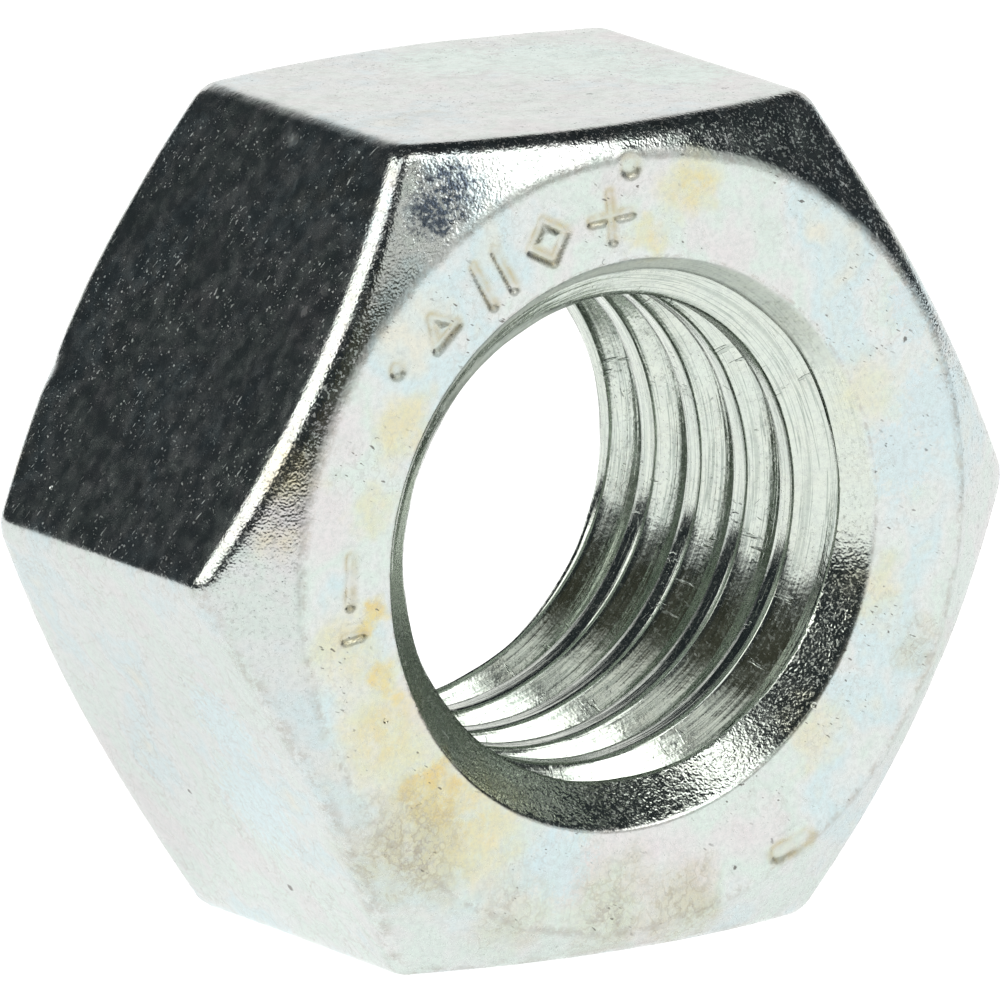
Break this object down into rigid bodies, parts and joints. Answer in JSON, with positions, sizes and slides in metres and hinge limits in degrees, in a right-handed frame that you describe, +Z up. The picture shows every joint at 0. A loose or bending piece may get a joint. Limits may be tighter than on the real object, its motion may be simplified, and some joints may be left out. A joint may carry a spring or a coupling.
{
  "type": "hex nut",
  "caption": "Zinc-plated steel hexagon nut, chamfered on both faces, with a countersunk right-hand metric thread.",
  "frame": {"origin": "on the thread's axis, half way between the two bearing faces", "axes": "+Y along the thread, away from the marked face; +Z up, square to one pair of flats; +X through two opposite corners"},
  "size_m": [0.0206, 0.01, 0.018],
  "materials": {
    "zinc_plated_steel": "satin"
  },
  "bodies": {
    "root": {"hex_nut": "zinc_plated_steel"}
  },
  "joints": []
}
